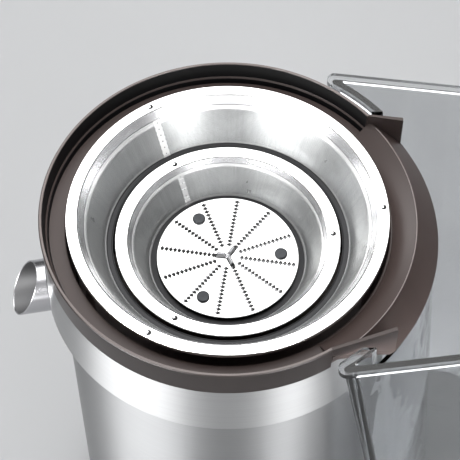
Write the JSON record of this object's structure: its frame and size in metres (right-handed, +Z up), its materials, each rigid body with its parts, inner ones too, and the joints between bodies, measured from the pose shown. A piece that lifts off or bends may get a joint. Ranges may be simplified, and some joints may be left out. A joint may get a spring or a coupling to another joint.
{
  "type": "centrifugal juicer",
  "caption": "Centrifugal juicer with its lid off: nested sieve baskets and a grating disc in a bowl with a steel spout, over a round steel motor base, with a clear pulp bin alongside.",
  "frame": {"origin": "spindle axis at the counter, in the plane of the foot ring", "axes": "+Z up along the spindle, +X from the spindle toward the pulp bin, -Y toward the controls"},
  "size_m": [0.3357, 0.2171, 0.322],
  "materials": {
    "rubber": "matte",
    "black_plastic": "fine texture",
    "zinc_screws": "plated",
    "brushed_steel": "brushed round the base",
    "core_steel": "varnished laminations",
    "copper": "enamelled wire",
    "cast_aluminium": "cast",
    "bearing_steel": "ground",
    "drive_plastic": "moulded",
    "bowl_plastic": "satin",
    "spout_steel": "polished",
    "polished_steel": "polished",
    "sieve_sheet": "fine perforated sheet",
    "grater_steel": "bright punched sheet",
    "rivet_steel": "dark",
    "smoky_clear": "clear smoky moulded plastic",
    "green_cap": "gloss",
    "red_cap": "gloss"
  },
  "bodies": {
    "base": {"foot_ring": "rubber", "base_tray": "black_plastic", "tray_screws": "zinc_screws", "base_housing": "brushed_steel", "housing_crown": "brushed_steel", "base_deck": "black_plastic", "shaft_seal": "rubber", "motor_dampers": "rubber", "motor_bolts": "zinc_screws", "motor_stator": "core_steel", "stator_windings": "copper", "upper_bracket": "cast_aluminium", "lower_bracket": "cast_aluminium", "upper_bearing": "bearing_steel", "lower_bearing": "bearing_steel", "run_capacitor": "cast_aluminium", "terminal_block": "black_plastic", "cord_gland": "black_plastic", "control_panel": "black_plastic", "contact_blocks": "black_plastic", "safety_switch": "black_plastic"},
    "rotor": {"motor_shaft": "bearing_steel", "rotor_core": "core_steel", "rotor_end_rings": "cast_aluminium", "cooling_fan": "black_plastic", "drive_coupling": "drive_plastic"},
    "bowl": {"bowl_rim": "bowl_plastic", "juice_bowl": "bowl_plastic", "bowl_floor": "bowl_plastic", "bowl_tower": "bowl_plastic", "exit_lip": "bowl_plastic", "exit_ears": "bowl_plastic", "bowl_collar": "brushed_steel", "juice_spout": "spout_steel", "spout_gasket": "rubber"},
    "outer_basket": {"outer_flange_ring": "polished_steel", "outer_sieve": "sieve_sheet", "shelf_ring": "polished_steel", "basket_frame": "drive_plastic"},
    "inner_basket": {"inner_flange_ring": "polished_steel", "inner_sieve": "sieve_sheet", "disc_carrier": "cast_aluminium", "grater_disc": "grater_steel", "centre_blades": "grater_steel", "disc_rivets": "rivet_steel"},
    "bin": {"pulp_bin": "smoky_clear"},
    "start_cap": {"start_button": "green_cap"},
    "stop_cap": {"stop_button": "red_cap"}
  },
  "joints": [
    {"name": "motor_spin", "type": "hinge", "parent": "base", "child": "rotor", "pos_m": [0, 0, 0.15], "axis": [0, 0, 1], "continuous": true},
    {"name": "bowl_lift", "type": "slide", "parent": "base", "child": "bowl", "axis": [0, 0, 1], "range_m": [0, 0.12]},
    {"name": "basket_spin", "type": "hinge", "parent": "bowl", "child": "outer_basket", "pos_m": [0, 0, 0.27], "axis": [0, 0, 1], "continuous": true},
    {"name": "inner_lift", "type": "slide", "parent": "outer_basket", "child": "inner_basket", "axis": [0, 0, 1], "range_m": [0, 0.08]},
    {"name": "bin_slide", "type": "slide", "parent": "base", "child": "bin", "axis": [1, 0, 0], "range_m": [0, 0.16]},
    {"name": "start_press", "type": "slide", "parent": "base", "child": "start_cap", "axis": [0, 1, 0], "range_m": [0, 0.003], "stiffness_N_per_m": 400, "springref_m": -0.002},
    {"name": "stop_press", "type": "slide", "parent": "base", "child": "stop_cap", "axis": [0, 1, 0], "range_m": [0, 0.003], "stiffness_N_per_m": 400, "springref_m": -0.002}
  ],
  "couplings": [
    {"joint": "basket_spin", "follows": "motor_spin", "ratio": 1}
  ]
}
